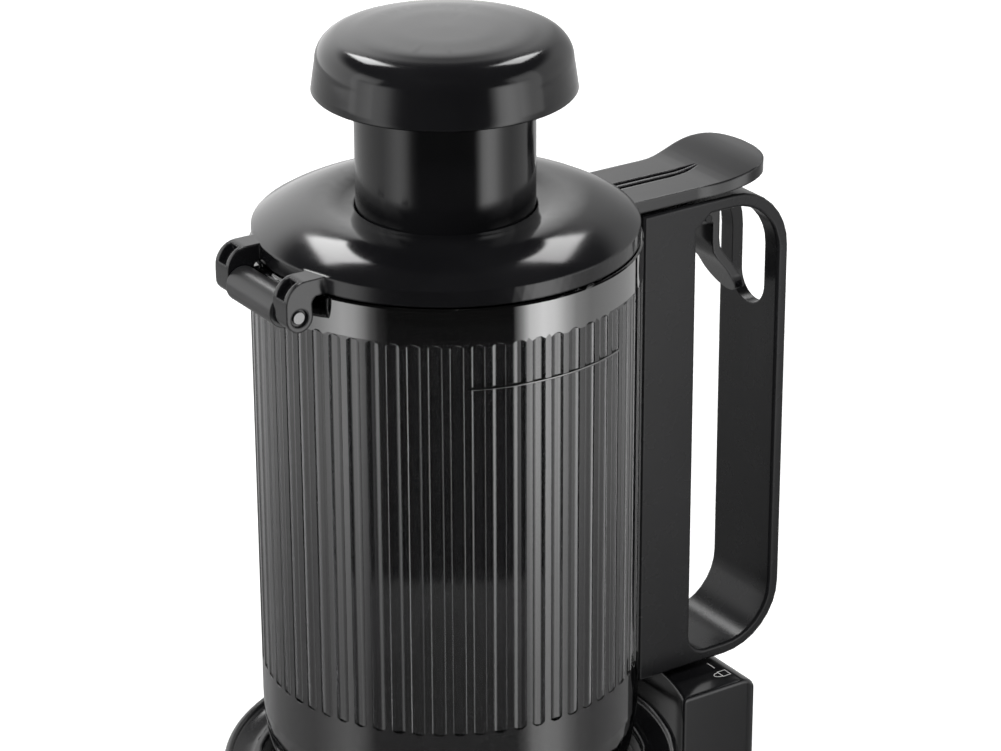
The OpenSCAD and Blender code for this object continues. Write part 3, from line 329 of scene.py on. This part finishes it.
def form_flutes(piece):
    """Gives the ends of the flutes, and so the straight lengths between, their moulded form."""
    for vertex in piece.data.vertices:
        r = math.hypot(vertex.co.x, vertex.co.y)
        at_top = abs(vertex.co.z - FLUTE_TOP) < 0.05 * MM
        at_foot = abs(vertex.co.z - FLUTE_FOOT) < 0.05 * MM
        if not (HOPPER_R - DEEPEST < r < HOPPER_R + 0.01 * MM and (at_top or at_foot)):
            continue
        angle = math.degrees(math.atan2(vertex.co.y, vertex.co.x))
        middle = round(angle / FLUTE_PITCH) * FLUTE_PITCH
        for as_cut, formed, depth, arch in FLUTE_FORM:
            if abs(abs(angle - middle) - as_cut) < 0.15:
                turned = math.radians(middle + math.copysign(formed, angle - middle))
                vertex.co.x = (HOPPER_R - depth * MM) * math.cos(turned)
                vertex.co.y = (HOPPER_R - depth * MM) * math.sin(turned)
                vertex.co.z += arch * MM * (1 if at_foot else -1)


def level_fill_line(piece):
    """Takes down the line's short lengths on the lands, where one continuous bead replaces them."""
    for vertex in piece.data.vertices:
        r = math.hypot(vertex.co.x, vertex.co.y)
        if 0.05 * MM < r - HOPPER_R < 0.4 * MM and abs(vertex.co.z - FILL_LINE) < 1 * MM:
            vertex.co.x *= HOPPER_R / r
            vertex.co.y *= HOPPER_R / r


def in_rim_band(p):
    return math.hypot(p.x, p.y) > HOPPER_R - 0.3 * MM and p.x > -HOPPER_R and p.z > FLUTE_TOP


def on_hinge_knuckle(p):
    return p.x < -HOPPER_R - 0.5 * MM


hopper = merged_copy("hopper")
cut(hopper, (0, 0, FLUTE_TOP + 0.1 * MM), (0, 0, 1))
cut(hopper, (0, 0, FLUTE_FOOT - 0.1 * MM), (0, 0, 1))
form_flutes(hopper)
level_fill_line(hopper)
finish_faces(hopper, smoke_rim, in_rim_band)
finish_faces(hopper, grey_satin, on_hinge_knuckle)
only(hopper)
bpy.ops.object.shade_smooth_by_angle(angle=math.radians(25))
true_cylinder(hopper)

bpy.ops.object.select_all(action="DESELECT")
bpy.ops.mesh.primitive_torus_add(location=(0, 0, FILL_LINE), major_radius=BEAD_ROUND,
                                 minor_radius=BEAD_R, major_segments=360, minor_segments=12)
fill_line = bpy.context.object
fill_line.name = "fill_line"
bpy.ops.object.transform_apply(location=True, rotation=True, scale=True)
bpy.ops.object.mode_set(mode="EDIT")
for end, inwards in BEAD_ENDS:
    way = math.radians(end + 90 * inwards)
    bpy.ops.mesh.select_all(action="SELECT")
    bpy.ops.mesh.bisect(plane_co=(0, 0, FILL_LINE), plane_no=(math.cos(way), math.sin(way), 0),
                        clear_inner=True, use_fill=True)
bpy.ops.object.mode_set(mode="OBJECT")
fill_line.data.materials.append(smoke_rim)
bpy.ops.object.shade_smooth_by_angle(angle=math.radians(50))
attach(fill_line, NODES["hopper"]["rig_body"])


# ---------------------------------------------------------------- handle, lid and housing
HANDLE_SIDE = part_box("handle")[1].y
# The bores of the trigger's pin keep crisp edges
PIN_X = 107 * MM
PIN_Z = RIM - 13 * MM
PIN_ROOM = 5 * MM


def on_handle_side(p):
    near_pin = math.hypot(p.x - PIN_X, p.z - PIN_Z) < PIN_ROOM
    return abs(p.y) > HANDLE_SIDE - 0.1 * MM and not near_pin


# The thumb lever as the source has it, in millimetres: round its end, and straight between
# points along its rise
LEVER_FROM = 97
ROUND_FROM = 118
ROUND_R = 17.8
PLAIN_POINT = 100
PLAIN_STEP = 3.58
PLAIN_LAST = 9.999
PLAIN_BEND = 103
PLAIN_LENGTH = 30
PLAIN_RISE = 5.2
# The same end as a broad pad that sweeps up on one smooth curve
CUTS = 20
CUT_STEP = 2
PAD_BEND = 99
PAD_LENGTH = 37
PAD_RISE = 5.8
PAD_FLARE = 0.20
PAD_FLARE_LENGTH = 21
PAD_FULLER = 1.2
PAD_SHORTER = 3.2


def ease(t):
    t = min(max(t, 0), 1)
    return t * t * (3 - 2 * t)


def plain_rise(x):
    at = min(max((x - PLAIN_POINT) / PLAIN_STEP, 0), PLAIN_LAST)
    points = [PLAIN_POINT + PLAIN_STEP * i for i in (int(at), int(at) + 1)]
    low, high = [PLAIN_RISE * ease((point - PLAIN_BEND) / PLAIN_LENGTH) for point in points]
    return low + (high - low) * (at - int(at))


def form_lever(piece):
    """Lets the thumb lever's end sweep up on one smooth curve to a broad rounded pad."""
    for i in range(CUTS):
        cut(piece, ((LEVER_FROM + CUT_STEP * i) * MM, 0, 0), (1, 0, 0))
    for vertex in piece.data.vertices:
        x = vertex.co.x / MM
        if x < LEVER_FROM:
            continue
        along = max((x - ROUND_FROM) / ROUND_R, 0)
        moved = x + PAD_FULLER * math.sin(math.pi * min(along, 1)) - PAD_SHORTER * along
        rise = PAD_RISE * ease((moved - PAD_BEND) / PAD_LENGTH) - plain_rise(x)
        widen = 1 + PAD_FLARE * ease((x - LEVER_FROM) / PAD_FLARE_LENGTH)
        vertex.co = (moved * MM, vertex.co.y * widen, vertex.co.z + rise * MM)


def on_lever(p):
    return p.x > HOPPER_R + 3 * MM


# The tower's corners towards the hopper, and the crown that narrows to its top
TOWER_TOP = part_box("base_housing")[1].z
TOWER_FOOT = TOWER_TOP - 114 * MM
TOWER_X = 82.5 * MM
TOWER_Y = 34.9 * MM
CROWN_Y = 32.5 * MM
CROWN_DEPTH = 9 * MM


def on_tower_edge(p):
    top = p.z > TOWER_TOP - 0.1 * MM
    crown = p.z > TOWER_TOP - CROWN_DEPTH and abs(p.y) > CROWN_Y and p.x > TOWER_X - 0.5 * MM
    upright = abs(p.x - TOWER_X) < 0.2 * MM and abs(p.y) > TOWER_Y and p.z > TOWER_FOOT
    return top or crown or upright


handle = merged_copy("handle")
round_edges(handle, 1.2, on_handle_side)
smooth_curves(handle)
lid = merged_copy("lid")
form_lever(lid)
round_edges(lid, 0.6, on_lever)
smooth_curves(lid)
housing = merged_copy("base_housing")
round_edges(housing, 1.5, on_tower_edge, clamp=False)
smooth_curves(housing)
cap = merged_copy("pusher_cap", flat=0.02)
smooth_curves(cap)
even_round(cap)
for name in ("juicing_bowl", "bowl_collar", "trigger", "pusher_tube", "juice_cap",
             "selector_knob", "auger"):
    smooth_curves(merged_copy(name))


# ---------------------------------------------------------------- printed signs
PRINT_T = 0.03 * MM
SIGN_Z = TOWER_TOP + 0.01 * MM
SIGN_LINE = 0.34 * MM
# Corners on the tower's top, in millimetres
LOCK_BODY = (106.3, -28.3, 110.1, -24.0)
MARK = (107.4, -20.9, 107.8, -15.9)
SHACKLE_AT = (106.3, -26.15)
SHACKLE_R = 1.75
SHACKLE_LONG = 1.6
SHACKLE_CUT = 106.31 * MM


def start_sign(add, x, y, scale, **shape):
    """Starts a flat sign on the tower's top, about a place in millimetres, and edits it."""
    bpy.ops.object.select_all(action="DESELECT")
    add(location=(x * MM, y * MM, SIGN_Z), **shape)
    bpy.context.object.scale = scale
    bpy.ops.object.transform_apply(location=False, rotation=False, scale=True)
    bpy.ops.object.mode_set(mode="EDIT")
    bpy.ops.mesh.select_all(action="SELECT")


def start_plate(x0, y0, x1, y1):
    start_sign(bpy.ops.mesh.primitive_plane_add, (x0 + x1) / 2, (y0 + y1) / 2,
               ((x1 - x0) * MM, (y1 - y0) * MM, 1), size=1)


def outline_inside():
    """Leaves a line round the edge of the flat shape."""
    bpy.ops.mesh.inset(thickness=SIGN_LINE)
    bpy.ops.mesh.delete(type="FACE")
    bpy.ops.mesh.select_all(action="SELECT")


def print_sign(name):
    """Thickens the flat shape being edited and fixes it to the base as a white print."""
    bpy.ops.object.mode_set(mode="OBJECT")
    piece = bpy.context.object
    paint = piece.modifiers.new("paint", "SOLIDIFY")
    paint.thickness = PRINT_T
    paint.offset = 1
    bpy.ops.object.modifier_apply(modifier=paint.name)
    piece.name = name
    piece.data.materials.append(white_print)
    bpy.ops.object.transform_apply(location=True, rotation=True, scale=True)
    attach(piece, "base")


start_plate(*LOCK_BODY)
outline_inside()
print_sign("sign_lock_body")
start_plate(*MARK)
bpy.ops.mesh.bevel(offset=0.1 * MM, segments=2, affect="VERTICES")
print_sign("sign_mark")
start_sign(bpy.ops.mesh.primitive_circle_add, *SHACKLE_AT, (SHACKLE_LONG, 1, 1), vertices=40,
           radius=SHACKLE_R * MM, fill_type="NGON")
outline_inside()
bpy.ops.mesh.bisect(plane_co=(SHACKLE_CUT, 0, 0), plane_no=(1, 0, 0), clear_outer=True)
print_sign("sign_lock_shackle")


# ---------------------------------------------------------------- camera
IMAGE_W = 1001
IMAGE_H = 751
FOCAL_PX = 3597
AXIS_PX = (492.0, 363.9)
CAMERA_AT = Vector((-639.7, -1002.6, 872.7)) * MM
LOOK = Vector((0.504647, 0.767960, -0.394423))
RIGHT = Vector((0.834604, -0.550830, -0.004651))
UP = Vector((0.220832, 0.326840, 0.918917))
VIEW_AZIMUTH = math.degrees(math.atan2(LOOK.y, LOOK.x))


def make_camera():
    data = bpy.data.cameras.new("camera")
    data.sensor_width = 36
    data.lens = FOCAL_PX * data.sensor_width / IMAGE_W
    data.shift_x = (IMAGE_W / 2 - AXIS_PX[0]) / IMAGE_W
    data.shift_y = (AXIS_PX[1] - IMAGE_H / 2) / IMAGE_W
    data.clip_start = 0.05
    data.clip_end = 50
    cam = bpy.data.objects.new("camera", data)
    bpy.context.scene.collection.objects.link(cam)
    cam.matrix_world = Matrix((
        (RIGHT.x, UP.x, -LOOK.x, CAMERA_AT.x), (RIGHT.y, UP.y, -LOOK.y, CAMERA_AT.y),
        (RIGHT.z, UP.z, -LOOK.z, CAMERA_AT.z), (0, 0, 0, 1)))
    bpy.context.scene.camera = cam


def azimuth(side):
    """World azimuth of a way that lies so many degrees right of the way to the camera."""
    return math.radians(VIEW_AZIMUTH - 180 + side)


# ---------------------------------------------------------------- lamps
LAMP_AIM = Vector((0, 0, 0.35))
OVERHEAD_Z = 1.92


def area_lamp(name, size, power):
    data = bpy.data.lights.new(name, "AREA")
    data.shape = "RECTANGLE"
    data.size, data.size_y = size
    data.energy = power
    lamp = bpy.data.objects.new(name, data)
    bpy.context.scene.collection.objects.link(lamp)
    return lamp


def softbox(name, turn, elevation, distance, size, power):
    """Lamp that faces the hopper; turn is counted from the view's own direction, left positive."""
    a = math.radians(VIEW_AZIMUTH + turn)
    e = math.radians(elevation)
    way = Vector((math.cos(a) * math.cos(e), math.sin(a) * math.cos(e), math.sin(e)))
    lamp = area_lamp(name, size, power)
    lamp.location = LAMP_AIM + way * distance
    lamp.rotation_euler = (-way).to_track_quat("-Z", "Y").to_euler()
    return lamp


def overhead(name, right, back, size, power):
    """Level lamp 1.5 m over the lid, so far to the right of and behind the hopper."""
    a = math.radians(VIEW_AZIMUTH)
    lamp = area_lamp(name, size, power)
    lamp.location = (back * math.cos(a) + right * math.sin(a),
                     back * math.sin(a) - right * math.cos(a), OVERHEAD_Z)
    lamp.rotation_euler = (0, 0, a - math.pi / 2)


# ---------------------------------------------------------------- world and floor
def greater(tree, first, second):
    node = tree.nodes.new("ShaderNodeMath")
    node.operation = "MAXIMUM"
    tree.links.new(first, node.inputs[0])
    tree.links.new(second, node.inputs[1])
    return node.outputs[0]


def mixed(tree, share, first, second):
    node = tree.nodes.new("ShaderNodeMixShader")
    for socket, output in enumerate((share, first, second)):
        tree.links.new(output, node.inputs[socket])
    return node.outputs[0]


def ray_kinds(tree):
    """Tells rays that see the background, straight or through clear plastic, and glossy ones."""
    path = tree.nodes.new("ShaderNodeLightPath").outputs
    return greater(tree, path["Is Camera Ray"], path["Is Transmission Ray"]), path["Is Glossy Ray"]


def background(tree, node, grey):
    node.inputs["Color"].default_value = (grey, grey, grey, 1)
    return node.outputs[0]


def make_world():
    """White to look at, grey to light the object and nearly black in reflections."""
    world = bpy.data.worlds.new("studio")
    world.use_nodes = True
    bpy.context.scene.world = world
    tree = world.node_tree
    room = background(tree, tree.nodes["Background"], 0.16)
    white = background(tree, tree.nodes.new("ShaderNodeBackground"), 1.0)
    dark = background(tree, tree.nodes.new("ShaderNodeBackground"), 0.03)
    seen, glossy = ray_kinds(tree)
    shader = mixed(tree, seen, mixed(tree, glossy, room, dark), white)
    tree.links.new(shader, tree.nodes["World Output"].inputs["Surface"])


def distance_from_middle(tree, measure=(1, 1, 1)):
    coord = tree.nodes.new("ShaderNodeTexCoord")
    flat = tree.nodes.new("ShaderNodeVectorMath")
    flat.operation = "MULTIPLY"
    flat.inputs[1].default_value = measure
    size = tree.nodes.new("ShaderNodeVectorMath")
    size.operation = "LENGTH"
    tree.links.new(coord.outputs["Object"], flat.inputs[0])
    tree.links.new(flat.outputs["Vector"], size.inputs[0])
    return size.outputs["Value"]


def make_floor():
    """White floor that glows to the rays that see it, and more so far from the object."""
    bpy.ops.object.select_all(action="DESELECT")
    bpy.ops.mesh.primitive_circle_add(vertices=96, radius=6, fill_type="NGON", location=(0, 0, 0))
    floor = bpy.context.object
    floor.name = "floor"
    mat, tree, bsdf = new_material("floor")
    bsdf.inputs["Base Color"].default_value = (0.85, 0.85, 0.85, 1)
    bsdf.inputs["Roughness"].default_value = 0.6
    glow = tree.nodes.new("ShaderNodeEmission")
    level = value_range(tree, distance_from_middle(tree), 0.45, 1.0, 0.9, 2.4)
    tree.links.new(level.outputs["Result"], glow.inputs["Strength"])
    bright = tree.nodes.new("ShaderNodeAddShader")
    tree.links.new(bsdf.outputs[0], bright.inputs[0])
    tree.links.new(glow.outputs[0], bright.inputs[1])
    seen, glossy = ray_kinds(tree)
    shader = mixed(tree, greater(tree, seen, glossy), bsdf.outputs[0], bright.outputs[0])
    tree.links.new(shader, tree.nodes["Material Output"].inputs["Surface"])
    floor.data.materials.append(mat)


# ---------------------------------------------------------------- cards that only reflections show
BRIGHTEST = 4


def brightness_around(tree, stops):
    """Grey by direction: stops are (degrees right of the way to the camera, strength)."""
    coord = tree.nodes.new("ShaderNodeTexCoord")
    turn = tree.nodes.new("ShaderNodeMapping")
    turn.inputs["Rotation"].default_value = (0, 0, -azimuth(0))
    tree.links.new(coord.outputs["Object"], turn.inputs["Vector"])
    sweep = tree.nodes.new("ShaderNodeTexGradient")
    sweep.gradient_type = "RADIAL"
    tree.links.new(turn.outputs["Vector"], sweep.inputs["Vector"])
    greys = [(0.5 + side / 360, (strength / BRIGHTEST,) * 3) for side, strength in stops]
    return ramp(tree, sweep.outputs["Fac"], greys)


def card_material(name, stops, measure, fade):
    """Glow that changes round the object, and fades by height or by distance on the floor."""
    mat, tree, bsdf = new_material(name)
    tree.nodes.remove(bsdf)
    glow = tree.nodes.new("ShaderNodeEmission")
    tree.links.new(brightness_around(tree, stops), glow.inputs["Color"])
    start, end, before, after = fade
    level = value_range(tree, distance_from_middle(tree, measure), BRIGHTEST * before,
                        BRIGHTEST * after, start, end)
    level.interpolation_type = "SMOOTHSTEP"
    tree.links.new(level.outputs["Result"], glow.inputs["Strength"])
    tree.links.new(glow.outputs[0], tree.nodes["Material Output"].inputs["Surface"])
    return mat


def card(name, points, faces, material):
    mesh = bpy.data.meshes.new(name)
    mesh.from_pydata(points, [], faces)
    piece = bpy.data.objects.new(name, mesh)
    piece.data.materials.append(material)
    bpy.context.scene.collection.objects.link(piece)
    piece.visible_diffuse = False
    piece.visible_shadow = False
    piece.visible_transmission = False
    piece.visible_camera = False


def floor_ring(name, near, far, stops, fade):
    """Level ring just over the floor; fade is (from, to, strength before, strength after)."""
    steps = 96
    height = 0.002
    angles = [2 * math.pi * i / steps for i in range(steps)]
    points = [(r * math.cos(a), r * math.sin(a), height) for a in angles for r in (near, far)]
    faces = [(2 * i, 2 * i + 1, (2 * i + 3) % (2 * steps), (2 * i + 2) % (2 * steps))
             for i in range(steps)]
    card(name, points, faces, card_material(name, stops, (1, 1, 0), fade))


def curved_wall(name, side_from, side_to, radius, high, stops, fade):
    """Upright curved wall, which fades by height."""
    steps = 48
    angles = [azimuth(side_from + (side_to - side_from) * i / steps) for i in range(steps + 1)]
    points = [(radius * math.cos(a), radius * math.sin(a), z) for a in angles for z in (0, high)]
    faces = [(2 * i, 2 * i + 1, 2 * i + 3, 2 * i + 2) for i in range(steps)]
    card(name, points, faces, card_material(name, stops, (0, 0, 1), fade))


FLOOR_CARDS = [
    (-180, 0.64), (-130, 0.66), (-110, 0.66), (-85, 0.66), (-75, 0.95), (-68, 1.30), (-60, 1.60),
    (-53, 1.40), (-48, 0.95), (-43, 0.35), (-38, 0.10), (-32, 0.02), (38, 0.02), (43, 0.9),
    (48, 2.4), (56, 3.0), (64, 2.6), (72, 1.5), (79, 0.85), (90, 0.58), (110, 0.62), (180, 0.60)]
NEAR_CARDS = [(side, max(strength, 0.3)) for side, strength in FLOOR_CARDS]
NEAR_EDGE = 0.68
FLOOR_FADE = (0.5, 0.95, 0.5, 1.0)
BACKDROP = [(-180, 1.30), (-150, 1.60), (-90, 1.50), (-60, 0.8), (60, 0.8), (90, 0.8),
            (135, 0.70), (155, 0.50), (170, 0.55), (180, 1.30)]

make_camera()
make_world()
make_floor()
floor_ring("near_cards", 0.2, NEAR_EDGE, NEAR_CARDS, FLOOR_FADE)
floor_ring("far_cards", NEAR_EDGE, 5.8, FLOOR_CARDS, FLOOR_FADE)
curved_wall("front_cards", -80, 80, 3.1, 1.4, FLOOR_CARDS, (1.0, 1.4, 1.0, 0.35))
curved_wall("backdrop", 60, 300, 3.2, 3.2, BACKDROP, (2.0, 3.0, 1.0, 0.05))
overhead("above_left", -0.65, 1.37, (0.44, 1.10), 14.0)
overhead("above_right", 0.60, 1.36, (0.42, 1.10), 10.0)
softbox("side_right", -100, 15, 2.0, (0.9, 1.8), 3)
softbox("side_left", 105, 15, 2.0, (0.9, 1.8), 3)
softbox("front", 170, 60, 2.6, (1.2, 1.2), 40).visible_glossy = False

bpy.context.scene.view_settings.view_transform = "Standard"
